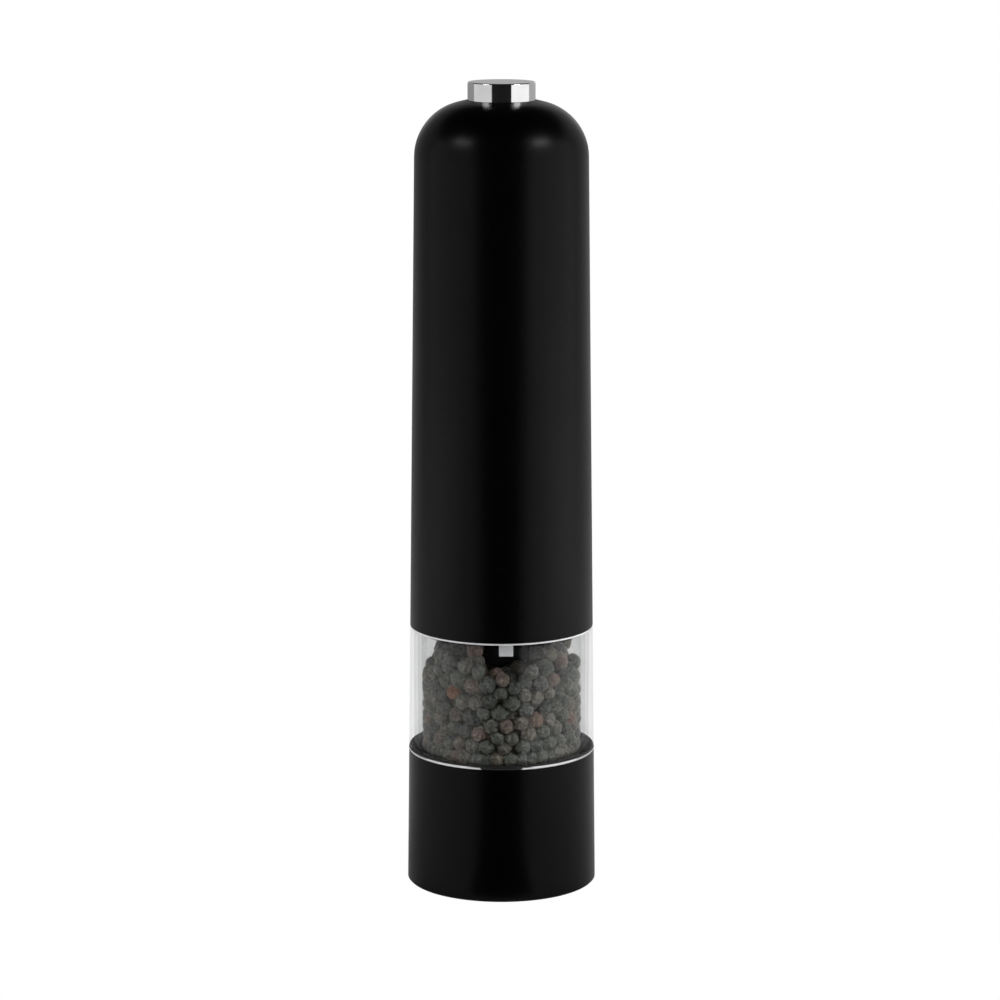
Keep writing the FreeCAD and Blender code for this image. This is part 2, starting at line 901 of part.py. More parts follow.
terminals = []
for number in range(2):
    tab = new_body("terminal_" + str(number))
    block(tab, rectangle(7.3, -1.2, 7.8, 1.2), s.motor_top + 2.0, s.holder_low - 0.8)
    terminals.append(place(tab, turn=135.0 + 180.0 * number))
group("motor_terminals", terminals)

motor_screws = []
for number in range(2):
    x, y = at_angle(8.0, 180 * number)
    body = screw("motor_screw_" + str(number), 1.8, 1.0, 0.9, 2.6)
    motor_screws.append(place(body, x, y, s.gearbox_top + 1.2, flip=True))
group("motor_screws", motor_screws)

# ---- Batteries, contacts, switch, leads ----

lead_places = (135, 315)
holder = new_body("battery_holder")
revolved(holder, ring_outline(0.0, s.holder_radius, s.holder_low, s.floor_top))
block(holder, rectangle(-s.boss_circle, -0.5, s.boss_circle, 0.5), s.floor_top, s.cap_low - 0.8)
block(holder, rectangle(-0.5, -15.0, 0.5, 15.0), s.floor_top + 0.8, s.cap_low)
side_boss = block(holder, [(*at_angle(s.boss_circle, 0), 2.4)], s.floor_top, s.cap_low)
repeated(holder, side_boss, 2, True)
boss_pilot = block(
    holder, [(*at_angle(s.boss_circle, 0), 1.25)], s.cap_low - 8.0, s.cap_low + 0.1, cut=True
)
repeated(holder, boss_pilot, 2, False)
floor_hole = block(
    holder,
    [(*at_angle(s.post_circle, 90), 1.35)],
    s.holder_low - 0.1,
    s.floor_top + 0.1,
    cut=True,
)
repeated(holder, floor_hole, 2, False)
lead_notch = block(
    holder,
    [(*at_angle(s.lead_circle, 135), 1.2)],
    s.holder_low - 0.1,
    s.floor_top + 0.1,
    cut=True,
)
repeated(holder, lead_notch, 2, False)
part(holder)

holder_cap = new_body("holder_cap")
revolved(holder_cap, ring_outline(0.0, s.holder_radius - 0.2, s.cap_low, s.cap_top))
cap_hole = block(
    holder_cap,
    [(*at_angle(s.boss_circle, 0), 1.35)],
    s.cap_low - 0.1,
    s.cap_top + 0.1,
    cut=True,
)
repeated(holder_cap, cap_hole, 2, False)
cap_notch = block(
    holder_cap,
    [(*at_angle(s.lead_circle, 135), 1.2)],
    s.cap_low - 0.1,
    s.cap_top + 0.1,
    cut=True,
)
repeated(holder_cap, cap_notch, 2, False)
for degrees in (45, 315):
    contact_hole = [(*at_angle(s.cell_offset * math.sqrt(2), degrees), 1.5)]
    block(holder_cap, contact_hole, s.cap_low - 0.1, s.cap_top + 0.1, cut=True)
part(holder_cap)

holder_screws = []
for number in range(4):
    circle, height = (s.boss_circle, s.cap_top) if number % 2 == 0 else (s.post_circle, s.floor_top)
    x, y = at_angle(circle, 90 * number)
    body = screw("holder_screw_" + str(number), 2.2, 1.3, 1.2, 7.0)
    holder_screws.append(place(body, x, y, height))
group("holder_screws", holder_screws)

contact_plate = 0.5


def contact_shape(name, low, x_low, y_low, x_high, y_high):
    body = new_body(name)
    block(body, rectangle(x_low, y_low, x_high, y_high), low, low + contact_plate)
    return body


near, far = s.cell_offset - 4.0, s.cell_offset + 4.0
lower_level = s.floor_top
upper_level = s.cap_low - contact_plate
group(
    "contact_plates",
    [
        contact_shape("lower_link_back", lower_level, -far, near, far, far),
        contact_shape("lower_link_front", lower_level, -far, -far, far, -near),
        contact_shape("upper_link", upper_level, -far, -far, -near, far),
        contact_shape("upper_plus", upper_level, near, near, far, far),
        contact_shape("upper_minus", upper_level, near, -far, far, -near),
    ],
)

spring_height = 3.2
cell_springs = []
for number in range(4):
    x, y = at_angle(s.cell_offset * math.sqrt(2), 45 + 90 * number)
    nub_up = number % 2 == 0
    cell = new_body("aa_cell_" + str(number + 1))
    revolved(
        cell,
        [
            (0.0, 0.0),
            (s.cell_radius - 0.8, 0.0),
            (s.cell_radius, 0.5),
            (s.cell_radius, s.cell_length - 0.5),
            (s.cell_radius - 0.8, s.cell_length),
            (2.75, s.cell_length),
            (2.75, s.cell_length + 1.2),
            (2.45, s.cell_length + 1.3),
            (0.0, s.cell_length + 1.3),
        ],
    )
    bottom = lower_level + contact_plate
    if nub_up:
        part(place(cell, x, y, bottom + spring_height))
        low = bottom
    else:
        part(place(cell, x, y, bottom + 1.3 + s.cell_length, flip=True))
        low = upper_level - spring_height
    spring = coil("cell_spring_" + str(number), 3.3, 0.35, low, low + spring_height, 2.0)
    spring.Placement.Base.x = x.value
    spring.Placement.Base.y = y.value
    spring.setExpression(".Placement.Base.x", x.text)
    spring.setExpression(".Placement.Base.y", y.text)
    cell_springs.append(spring)
group("cell_springs", cell_springs)

switch = new_body("switch_body")
block(switch, rectangle(-4.5, -4.5, 4.5, 4.5), s.cap_top, s.switch_top)
block(switch, [(0.0, 0.0, 1.65)], s.cap_top + 0.6, s.switch_top + 0.1, cut=True)
part(place(switch, turn=45.0))
turned_part(
    "switch_plunger",
    [
        (0.0, s.cap_top + 2.8),
        (1.6, s.cap_top + 2.8),
        (1.6, s.switch_top + 1.7),
        (1.3, s.switch_top + 2.0),
        (0.0, s.switch_top + 2.0),
    ],
)


def lead(label, route, start_along_x, degrees):
    """An insulated lead along a route in an upright plane through the axis."""
    body = new_body(label)
    path = sketch_on(body, "XZ_Plane")
    draw(path, route, closed=False)
    x, z = as_size(route[0][0]), as_size(route[0][1])
    if start_along_x:
        profile = sketch_on(body, "YZ_Plane", x)
        draw_circle(profile, 0.0, z, s.lead_radius)
    else:
        profile = sketch_on(body, "XY_Plane", z)
        draw_circle(profile, x, 0.0, s.lead_radius)
    pipe = body.newObject("PartDesign::AdditivePipe", body.Name + "_pipe")
    pipe.Profile = profile
    pipe.Spine = (path, [])
    finished(body, pipe, True)
    return part(place(body, turn=degrees))


bend = 2.5
top_run = s.cap_top + 1.8
low_run = s.motor_top + 3.5
cell_spot = s.cell_offset * math.sqrt(2)
climb = [
    (7.9, low_run),
    (s.lead_circle - bend, low_run),
    Arc(bend),
    (s.lead_circle, low_run + bend),
    (s.lead_circle, top_run - bend),
    Arc(bend),
    (s.lead_circle - bend, top_run),
]
drop = [
    (cell_spot + 1.5, top_run),
    Arc(1.5),
    (cell_spot, top_run - 1.5),
    (cell_spot, s.cap_low + 0.1),
]
lead("red_lead", climb + [(4.7, top_run)], True, lead_places[0])
lead("black_lead", climb + drop, True, lead_places[1])
link = [
    (4.7, top_run),
    (cell_spot - 1.5, top_run),
    Arc(1.5, left=False),
    (cell_spot, top_run - 1.5),
    (cell_spot, s.cap_low + 0.1),
]
lead("switch_lead", link, True, 45)

# ---- Gear stages and rotor ----

output = new_body("output_carrier")
revolved(
    output,
    [
        (0.0, s.nose_low + 1.0),
        (3.7, s.nose_low + 1.0),
        (4.0, s.nose_low + 1.3),
        (4.0, 81.0),
        (11.8, 81.0),
        (11.8, 83.1),
        (0.0, 83.1),
    ],
)
block(output, hexagon(2.6), s.nose_low + 0.9, 70.0, cut=True)
output_pin = block(output, [(planet_orbit, 0.0, 1.4)], 83.1, 88.4)
repeated(output, output_pin, 3, True)
part(output)

carrier = new_body("carrier_1")
outer_gear(carrier, SUN_TEETH, 83.4, 88.8)
revolved(carrier, ring_outline(0.0, 11.8, 88.8, 90.6))
carrier_pin = block(carrier, [(planet_orbit, 0.0, 1.1)], 90.6, 94.9)
repeated(carrier, carrier_pin, 3, True)
part(carrier)

for letter, degrees in zip("abc", PLANET_PLACES):
    planet("planet_1" + letter, 91.0, 94.7, 1.1, degrees)
    planet("planet_2" + letter, 83.5, 88.4, 1.4, degrees)

pinion = new_body("motor_pinion")
outer_gear(pinion, SUN_TEETH, 90.9, 95.5)
block(pinion, [(0.0, 0.0, 1.02)], 90.8, 95.6, cut=True)
part(pinion)
turned_part("motor_shaft", ring_outline(0.0, 1.0, 91.0, 129.5))

armature = new_body("motor_armature")
revolved(armature, ring_outline(1.02, 8.9, 103.0, 121.0))
winding_gap = slot_along(armature, rectangle(4.5, 102.9, 9.5, 121.1), 2.2)
repeated(armature, winding_gap, 3, False)
part(armature)

# ---- Upper casing and button ----

flatten = 1.0 / math.sqrt(1.0 + SIZES["wall_taper"] ** 2)


def shoulder_start(inset):
    """Where the straight wall runs into the shoulder, this far in from the outside."""
    reach = (s.shoulder_radius - inset) * flatten
    return (s.shoulder_out + reach, s.shoulder_up + reach * s.wall_taper)


def shoulder_end(inset):
    """Where the shoulder runs into the crown."""
    share = (s.crown_radius - inset) / (s.crown_radius - s.shoulder_radius)
    return (s.shoulder_out * share, s.crown_up + (s.shoulder_up - s.crown_up) * share)


def crown_height(radius, inset):
    return s.crown_up + root_of_difference(s.crown_radius - inset, as_size(radius))


inset = s.casing_wall
sleeve_outer = s.button_hole + 1.5
groove_low, groove_top = s.plate_low + 0.6, s.plate_low + 2.4
casing = new_body("upper_casing")
revolved(
    casing,
    [
        (wall(s.casing_low), s.casing_low),
        shoulder_start(0.0),
        Arc(s.shoulder_radius),
        shoulder_end(0.0),
        Arc(s.crown_radius),
        (s.button_hole, crown_height(s.button_hole, 0.0)),
        (s.button_hole, s.sleeve_low),
        (sleeve_outer, s.sleeve_low),
        (sleeve_outer, crown_height(sleeve_outer, inset)),
        Arc(s.crown_radius - inset, left=False),
        shoulder_end(inset),
        Arc(s.shoulder_radius - inset, left=False),
        shoulder_start(inset),
        (wall(groove_top) - inset, groove_top),
        (wall(groove_top) - inset + 0.4, groove_top),
        (wall(groove_top) - inset + 0.4, groove_low),
        (wall(groove_low) - inset, groove_low),
        (wall(s.casing_low) - inset, s.casing_low),
    ],
)
rib = block(casing, rectangle(21.4, -0.8, 23.2, 0.8), s.plate_low + 0.4, s.plate_top + 30.0)
repeated(casing, rib, 2, True)
casing_boss = block(
    casing, [(*at_angle(13.4, 90), 2.3)], s.retainer_top + 0.05, s.sleeve_low + 1.6
)
repeated(casing, casing_boss, 3, True)
casing_pilot = block(
    casing,
    [(*at_angle(13.4, 90), 0.95)],
    s.retainer_top,
    s.retainer_top + 3.6,
    cut=True,
)
repeated(casing, casing_pilot, 3, False)
part(casing)

retainer = new_body("button_retainer")
revolved(retainer, ring_outline(2.8, 16.5, s.retainer_low, s.retainer_top))
retainer_hole = block(
    retainer,
    [(*at_angle(13.4, 90), 1.1)],
    s.retainer_low - 0.1,
    s.retainer_top + 0.1,
    cut=True,
)
repeated(retainer, retainer_hole, 3, False)
part(retainer)

retainer_screws = []
for number in range(3):
    x, y = at_angle(13.4, 90 + 120 * number)
    body = screw("retainer_screw_" + str(number), 1.9, 1.3, 0.9, 5.0)
    retainer_screws.append(place(body, x, y, s.retainer_low, flip=True))
group("retainer_screws", retainer_screws)
part(coil("button_spring", 5.4, 0.35, s.retainer_top, s.button_top - 3.1, 5.0))

button = new_body("button_cap")
flange_top = s.sleeve_low - 0.1
revolved(
    button,
    [
        (0.0, s.button_top),
        (0.0, s.button_top - 1.5),
        (s.button_radius - 1.3, s.button_top - 1.5),
        (s.button_radius - 1.3, flange_top - 0.8),
        (s.button_radius + 1.3, flange_top - 0.8),
        (s.button_radius + 1.3, flange_top),
        (s.button_radius, flange_top),
        (s.button_radius, s.button_top - 0.35),
        Arc(0.35),
        (s.button_radius - 0.35, s.button_top),
    ],
)
part(button)
turned_part(
    "button_stem",
    [
        (0.0, s.switch_top + 2.2),
        (2.4, s.switch_top + 2.2),
        (2.4, s.button_top - 3.0),
        (s.button_radius - 1.4, s.button_top - 3.0),
        (s.button_radius - 1.4, s.button_top - 1.5),
        (0.0, s.button_top - 1.5),
    ],
)

# ---- Check and export ----

doc.recompute()
for item in doc.Objects:
    if "Invalid" in item.State or "Error" in item.State:
        raise ValueError(item.Label + " did not compute: " + str(item.State))
os.makedirs("parts", exist_ok=True)
for item in subparts:
    if item.Shape.isNull() or not item.Shape.isValid():
        raise ValueError(item.Label + " has no valid shape")
    item.Shape.exportStep("parts/" + item.Label + ".step")
    print(item.Label, len(item.Shape.Solids), round(item.Shape.Volume, 1))
print(len(subparts), "sub-parts")
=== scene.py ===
import json
import math

import bmesh
import bpy
import numpy as np
from mathutils import Matrix, Vector, noise


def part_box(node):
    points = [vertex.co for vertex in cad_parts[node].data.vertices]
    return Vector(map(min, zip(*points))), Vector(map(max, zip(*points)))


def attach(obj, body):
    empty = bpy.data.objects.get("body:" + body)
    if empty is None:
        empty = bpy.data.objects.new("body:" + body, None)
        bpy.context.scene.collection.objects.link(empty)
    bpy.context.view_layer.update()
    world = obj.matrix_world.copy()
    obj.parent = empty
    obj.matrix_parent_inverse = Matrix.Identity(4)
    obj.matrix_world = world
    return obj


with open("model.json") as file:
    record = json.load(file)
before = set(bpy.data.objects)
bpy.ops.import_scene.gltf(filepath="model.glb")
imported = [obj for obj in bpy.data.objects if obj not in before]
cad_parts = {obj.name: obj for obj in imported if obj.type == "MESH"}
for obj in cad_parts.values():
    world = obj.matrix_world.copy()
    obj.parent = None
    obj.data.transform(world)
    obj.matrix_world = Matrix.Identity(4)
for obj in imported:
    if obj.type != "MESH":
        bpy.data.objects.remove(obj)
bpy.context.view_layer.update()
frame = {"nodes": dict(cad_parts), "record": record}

MM = 0.001
WHITE = (1.0, 1.0, 1.0, 1.0)
NODES = frame["nodes"]
SLOT_OF = {s["node"]: s["material_slot"] for s in frame["record"]["subparts"]}


def node_box(name):
    """The lowest and highest corners of a CAD node, in millimetres."""
    low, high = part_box(name)
    return [v / MM for v in low], [v / MM for v in high]


def new_object(name, data):
    """Put a mesh, a lamp or a camera into the scene."""
    thing = bpy.data.objects.new(name, data)
    bpy.context.scene.collection.objects.link(thing)
    return thing


def new_sheet(name, corners, material):
    """A flat sheet with four corners, in metres."""
    mesh = bpy.data.meshes.new(name)
    mesh.from_pydata(corners, [], [(0, 1, 2, 3)])
    mesh.materials.append(material)
    return new_object(name, mesh)


# ---- Node helpers ----


def new_material(name):
    """A material with a Principled shader wired to its output."""
    material = bpy.data.materials.new(name)
    material.use_nodes = True
    tree = material.node_tree
    tree.nodes.clear()
    output = tree.nodes.new("ShaderNodeOutputMaterial")
    shader = tree.nodes.new("ShaderNodeBsdfPrincipled")
    tree.links.new(shader.outputs[0], output.inputs[0])
    return material, tree, shader


def add(tree, kind, **values):
    """A node of this kind, with its settings."""
    node = tree.nodes.new(kind)
    for key, value in values.items():
        setattr(node, key, value)
    return node


def calculate(tree, operation, first, second):
    """A sum, product or comparison of two values; the second may be a plain number."""
    node = add(tree, "ShaderNodeMath", operation=operation)
    tree.links.new(first, node.inputs[0])
    if isinstance(second, float):
        node.inputs[1].default_value = second
    else:
        tree.links.new(second, node.inputs[1])
    return node.outputs[0]


def choose(tree, share, first, second, output):
    """Show the first shader where the share is 0 and the second where it is 1."""
    chosen = add(tree, "ShaderNodeMixShader")
    tree.links.new(share, chosen.inputs[0])
    tree.links.new(first.outputs[0], chosen.inputs[1])
    tree.links.new(second.outputs[0], chosen.inputs[2])
    tree.links.new(chosen.outputs[0], output.inputs[0])


def material_output(tree):
    return next(node for node in tree.nodes if node.type == "OUTPUT_MATERIAL")


def object_point(tree, stretch=(1.0, 1.0, 1.0)):
    """Coordinates fixed to the object, in millimetres, stretched along each axis."""
    place = add(tree, "ShaderNodeTexCoord")
    scaled = add(tree, "ShaderNodeMapping")
    scaled.inputs["Scale"].default_value = [1000.0 * k for k in stretch]
    tree.links.new(place.outputs["Object"], scaled.inputs["Vector"])
    return scaled.outputs["Vector"]


def noise_value(tree, point, scale, detail=4.0, rough=0.5):
    """Noise from 0 to 1; the scale is in waves per millimetre."""
    node = add(tree, "ShaderNodeTexNoise")
    node.inputs["Scale"].default_value = scale
    node.inputs["Detail"].default_value = detail
    node.inputs["Roughness"].default_value = rough
    tree.links.new(point, node.inputs["Vector"])
    return node.outputs["Fac"]


def ramp(tree, value, stops):
    """Colours against a value from 0 to 1."""
    node = add(tree, "ShaderNodeValToRGB")
    points = node.color_ramp.elements
    while len(points) < len(stops):
        points.new(0.5)
    for point, (position, colour) in zip(points, stops):
        point.position = position
        point.color = (*colour, 1.0)
    tree.links.new(value, node.inputs["Fac"])
    return node.outputs["Color"]


def spread(tree, value, low, high):
    """Map the middle of a noise onto a range of plain numbers."""
    node = add(tree, "ShaderNodeMapRange")
    node.inputs["From Min"].default_value = 0.3
    node.inputs["From Max"].default_value = 0.7
    node.inputs["To Min"].default_value = low
    node.inputs["To Max"].default_value = high
    tree.links.new(value, node.inputs["Value"])
    return node.outputs["Result"]


def bump(tree, shader, height, distance, strength=1.0):
    """Relief on the shader's surface; the distance is in metres."""
    node = add(tree, "ShaderNodeBump")
    node.inputs["Strength"].default_value = strength
    node.inputs["Distance"].default_value = distance
    tree.links.new(height, node.inputs["Height"])
    tree.links.new(node.outputs["Normal"], shader.inputs["Normal"])


def plain_finish(name, dark, light, rough, grain=3.0, relief=0.01, metallic=0.0, specular=0.5,
                 stretch=(1.0, 1.0, 1.0)):
    """A moulded, cast or brushed finish: fine grain in colour, roughness and relief (mm)."""
    material, tree, shader = new_material(name)
    point = object_point(tree, stretch)
    cloud = noise_value(tree, point, 0.08, 3.0)
    fine = noise_value(tree, point, grain, 5.0, 0.6)
    colour = ramp(tree, cloud, [(0.35, dark), (0.65, light)])
    tree.links.new(colour, shader.inputs["Base Color"])
    tree.links.new(spread(tree, fine, rough * 0.88, rough * 1.12), shader.inputs["Roughness"])
    shader.inputs["Metallic"].default_value = metallic
    shader.inputs["Specular IOR Level"].default_value = specular
    shader.inputs["IOR"].default_value = 1.5
    bump(tree, shader, fine, relief * MM, 0.6)
    return material


def shaded(colour, amount):
    return tuple(c * amount for c in colour)


def finish_of(name, colour, rough, **more):
    """A finish whose colour varies a little, darker and lighter than the one given."""
    return plain_finish(name, shaded(colour, 0.88), shaded(colour, 1.12), rough, **more)


# ---- Materials ----


def clear_plastic():
    """Clear moulded plastic. Light reaches what is behind it straight through."""
    material, tree, shader = new_material("clear_plastic")
    point = object_point(tree, (1.0, 1.0, 0.12))
    streak = noise_value(tree, point, 0.9, 3.0)
    tint = ramp(tree, streak, [(0.3, (0.845, 0.85, 0.85)), (0.7, (0.9, 0.9, 0.9))])
    tree.links.new(tint, shader.inputs["Base Color"])
    tree.links.new(spread(tree, streak, 0.015, 0.045), shader.inputs["Roughness"])
    shader.inputs["Transmission Weight"].default_value = 1.0
    shader.inputs["IOR"].default_value = 1.0
    shader.inputs["Coat Weight"].default_value = 0.3
    shader.inputs["Coat Roughness"].default_value = 0.05
    path = add(tree, "ShaderNodeLightPath")
    passing = add(tree, "ShaderNodeBsdfTransparent")
    passing.inputs["Color"].default_value = (0.93, 0.94, 0.94, 1.0)
    choose(tree, path.outputs["Is Shadow Ray"], shader, passing, material_output(tree))
    return material


def seal_plastic():
    """Milky moulded plastic that lets some light in under its surface."""
    material, tree, shader = new_material("seal_plastic")
    fine = noise_value(tree, object_point(tree), 1.4, 4.0)
    colour = ramp(tree, fine, [(0.3, (0.84, 0.85, 0.86)), (0.7, (0.94, 0.94, 0.94))])
    tree.links.new(colour, shader.inputs["Base Color"])
    tree.links.new(spread(tree, fine, 0.28, 0.4), shader.inputs["Roughness"])
    shader.inputs["Subsurface Weight"].default_value = 0.6
    shader.inputs["Subsurface Radius"].default_value = (0.004, 0.004, 0.004)
    shader.inputs["Subsurface Scale"].default_value = 1.0
    bump(tree, shader, fine, 0.01 * MM)
    return material


def corn_skin():
    """Dried peppercorns: every corn its own brown, green or near-black. They are paler on their
    ridges: partly the skin's own pale wrinkles, partly painted highlight on the ridge tops.
    """
    material, tree, shader = new_material("peppercorn_skin")
    tint = add(tree, "ShaderNodeAttribute", attribute_name="corn_tint")
    ridge = add(tree, "ShaderNodeAttribute", attribute_name="corn_ridge")
    body = ramp(
        tree,
        tint.outputs["Fac"],
        [
            (0.0, (0.026, 0.029, 0.025)),
            (0.25, (0.090, 0.100, 0.078)),
            (0.45, (0.062, 0.070, 0.070)),
            (0.62, (0.135, 0.112, 0.082)),
            (0.78, (0.078, 0.088, 0.075)),
            (0.90, (0.135, 0.092, 0.075)),
            (1.0, (0.240, 0.105, 0.062)),
        ],
    )
    # pale ridge colours: the skin's own paler wrinkles, made brighter as painted highlight
    pale_ridge_and_highlight = ramp(
        tree,
        tint.outputs["Fac"],
        [
            (0.0, (0.34, 0.35, 0.32)),
            (0.5, (0.56, 0.54, 0.46)),
            (0.88, (0.66, 0.54, 0.47)),
            (1.0, (0.72, 0.42, 0.26)),
        ],
    )
    speckle = noise_value(tree, object_point(tree), 0.9, 6.0, 0.65)
    ridge_paleness_and_highlight = spread(tree, speckle, 0.2, 1.0)
    # how much of the pale ridge colour and painted highlight shows: ridge height times speckle
    share = calculate(tree, "MULTIPLY", ridge.outputs["Fac"], ridge_paleness_and_highlight)
    mixed = add(tree, "ShaderNodeMix", data_type="RGBA")
    colour_a, colour_b, colour_out = 6, 7, 2  # the Mix node's colour sockets share their names
    tree.links.new(share, mixed.inputs["Factor"])
    tree.links.new(body, mixed.inputs[colour_a])
    tree.links.new(pale_ridge_and_highlight, mixed.inputs[colour_b])
    tree.links.new(mixed.outputs[colour_out], shader.inputs["Base Color"])
    tree.links.new(spread(tree, speckle, 0.3, 0.5), shader.inputs["Roughness"])
    bump(tree, shader, speckle, 0.5 * MM)
    return material


def chrome():
    """Polished plating."""
    material, tree, shader = new_material("chrome_plate")
    cloud = noise_value(tree, object_point(tree), 0.25, 3.0)
    colour = ramp(tree, cloud, [(0.3, (0.80, 0.80, 0.81)), (0.7, (0.88, 0.88, 0.88))])
    tree.links.new(colour, shader.inputs["Base Color"])
    tree.links.new(spread(tree, cloud, 0.05, 0.08), shader.inputs["Roughness"])
    shader.inputs["Metallic"].default_value = 1.0
    return material


def cell_wrap():
    """A cell's plain sleeve: a dark green body with a copper-coloured band at its upper end."""
    material, tree, shader = new_material("cell_wrap")
    place = add(tree, "ShaderNodeTexCoord")
    apart = add(tree, "ShaderNodeSeparateXYZ")
    tree.links.new(place.outputs["Object"], apart.inputs[0])
    low, high = node_box("aa_cell_1")[0][2], node_box("aa_cell_2")[1][2]
    margin = 2.0
    height = add(tree, "ShaderNodeMapRange")
    height.inputs["From Min"].default_value = (low - margin) * MM
    height.inputs["From Max"].default_value = (high + margin) * MM
    tree.links.new(apart.outputs["Z"], height.inputs["Value"])
    colour = ramp(
        tree,
        height.outputs["Result"],
        [
            (0.0, (0.07, 0.12, 0.10)),
            (0.7, (0.05, 0.11, 0.09)),
            (0.72, (0.45, 0.33, 0.14)),
            (1.0, (0.5, 0.37, 0.16)),
        ],
    )
    fine = noise_value(tree, object_point(tree), 2.0, 4.0)
    tree.links.new(colour, shader.inputs["Base Color"])
    tree.links.new(spread(tree, fine, 0.26, 0.36), shader.inputs["Roughness"])
    bump(tree, shader, fine, 0.01 * MM)
    return material


materials = {
    "black_case": plain_finish(
        "black_case", (0.0002, 0.0002, 0.0003), (0.0005, 0.0005, 0.0006), 0.3,
        grain=6.0, relief=0.004, specular=0.12
    ),
    "black_inner": finish_of("black_inner", (0.012, 0.012, 0.013), 0.5, relief=0.02),
    "chrome_trim": chrome(),
    "gasket": finish_of("gasket_rubber", (0.008, 0.008, 0.008), 0.6, relief=0.02),
    "clear": clear_plastic(),
    "seal": seal_plastic(),
    "ceramic": finish_of("ceramic_white", (0.74, 0.73, 0.69), 0.42, grain=4.0, relief=0.02),
    "steel": finish_of(
        "turned_steel", (0.5, 0.5, 0.49), 0.3, grain=2.0, relief=0.01, metallic=1.0,
        stretch=(1.0, 1.0, 6.0)
    ),
    "bronze": finish_of("bronze", (0.60, 0.40, 0.18), 0.32, metallic=1.0),
    "magnet": finish_of("ferrite", (0.06, 0.06, 0.062), 0.6, relief=0.03),
    "gear_white": finish_of("acetal", (0.72, 0.71, 0.66), 0.38, relief=0.01),
    "cell_wrap": cell_wrap(),
    "plunger_red": finish_of("plunger_red", (0.42, 0.04, 0.03), 0.4),
    "red_wire": finish_of("red_wire", (0.45, 0.02, 0.02), 0.4, relief=0.01),
    "black_wire": finish_of("black_wire", (0.015, 0.015, 0.015), 0.4, relief=0.01),
    "yellow_wire": finish_of("yellow_wire", (0.55, 0.38, 0.04), 0.4, relief=0.01),
}

for name, thing in NODES.items():
    thing.data.materials.clear()
    thing.data.materials.append(materials[SLOT_OF[name]])


# ---- Peppercorns: sizes in millimetres ----

CORN_COUNT = 860  # before the heap is cut to its top
CORN_RADIUS = (1.75, 2.3)
CORN_SWELL = 1.06  # the wrinkles' valleys are filled out again by this much
ORANGE_SHARE = 0.015
SEED = 41
WALL_RADIUS = 21.35  # the cup's inside
FLOOR_DROP = 0.85  # from the base's rim down to the corns' floor
NOSE_RADIUS = 7.5  # the upper part's nose, round the shaft
SKIN_DEPTH = 6.0  # corns this far under the heap's top, or less, can be seen
SEEN_RADIUS = 14.5  # and so can those further out than this
SHAPES_EACH = 9

FALL_STEPS, REST_STEPS = 260, 100
FALL, SAG = 0.25, 0.03  # how far the corns sink in a step, first and last


def heap_top(x, y):
    """The height that the corns' tops reach: lower at both sides, hollow before the nose."""
    side = 19.4
    no_limit = 76.0
    left = np.minimum(58.8 + (x + side) * 2.4, 64.3 + (x + 17.0))
    right = 62.5 + (side - x) * 1.8
    hollow_low, hollow_middle, hollow_half, bank_width, bank_slope = 62.5, 1.5, 6.0, 9.0, 2.5
    bank = np.clip(np.abs(x - hollow_middle) - hollow_half, 0.0, bank_width) * bank_slope
    hollow = np.where(y < 3.0, hollow_low + bank, no_limit)
    under_neck = np.where(np.hypot(x, y) > 17.8, 67.9, no_limit)
    return np.minimum(np.minimum(left, right), np.minimum(hollow, under_neck))


def settle(count, rng):
    """Let balls fall into the chamber and push each other apart until they rest."""
    floor = node_box("base_housing")[1][2] - FLOOR_DROP
    nose_low = node_box("chassis_plate")[0][2]
    shaft_radius = node_box("drive_shaft")[1][1]
    size = rng.uniform(*CORN_RADIUS, count)
    angle = rng.uniform(0, 2 * math.pi, count)
    away = np.sqrt(rng.uniform(0.04, 1.0, count)) * (WALL_RADIUS - 2.5)
    spot = np.column_stack(
        [away * np.cos(angle), away * np.sin(angle), rng.uniform(floor + 2, floor + 46, count)]
    )
    reach = size[:, None] + size[None, :]
    np.fill_diagonal(reach, 0.0)
    for step in range(FALL_STEPS + REST_STEPS):
        spot[:, 2] -= FALL if step < FALL_STEPS else SAG
        for _ in range(2):
            gap = spot[:, None, :] - spot[None, :, :]
            far = np.sqrt((gap**2).sum(2)) + 1e-9
            push = np.clip(reach - far, 0.0, None) / far * 0.5
            spot += (gap * push[:, :, None]).sum(1) * 0.7
            radial = np.hypot(spot[:, 0], spot[:, 1]) + 1e-9
            core = np.where(spot[:, 2] + size > nose_low, NOSE_RADIUS, shaft_radius) + size
            wanted = np.clip(radial, core, WALL_RADIUS - size)
            spot[:, :2] *= (wanted / radial)[:, None]
            spot[:, 2] = np.maximum(spot[:, 2], floor + size)
    kept = spot[:, 2] + size < heap_top(spot[:, 0], spot[:, 1])
    return spot[kept], size[kept]


def corn_shapes(level, variants, first_seed):
    """Wrinkled balls of radius 1: vertices, faces and how far each vertex is up a ridge."""
    shapes = []
    for number in range(variants):
        ball = bmesh.new()
        bmesh.ops.create_icosphere(ball, subdivisions=level, radius=1.0)
        offset = Vector((7.3 * (number + first_seed), 1.7 * number, 3.1))
        spots, ridges = [], []
        for vertex in ball.verts:
            way = vertex.co.normalized()
            bent = way * 1.5 + offset
            warp = Vector(noise.noise_vector(way * 1.3 + offset)) * 0.35
            crease = 1.0 - abs(noise.noise((bent + warp) * 1.55)) * 2.6
            small = 1.0 - abs(noise.noise((bent - warp) * 3.4)) * 2.4
            ridge = max(0.0, crease) * 0.65 + max(0.0, small) * 0.35
            lump = noise.noise(way * 0.9 + offset)
            spots.append(way * (0.85 + 0.21 * ridge + 0.08 * lump))
            ridges.append(min(1.0, ridge ** 2))
        faces = [[v.index for v in face.verts] for face in ball.faces]
        ball.free()
        shapes.append((np.array(spots), np.array(faces), np.array(ridges)))
    return shapes


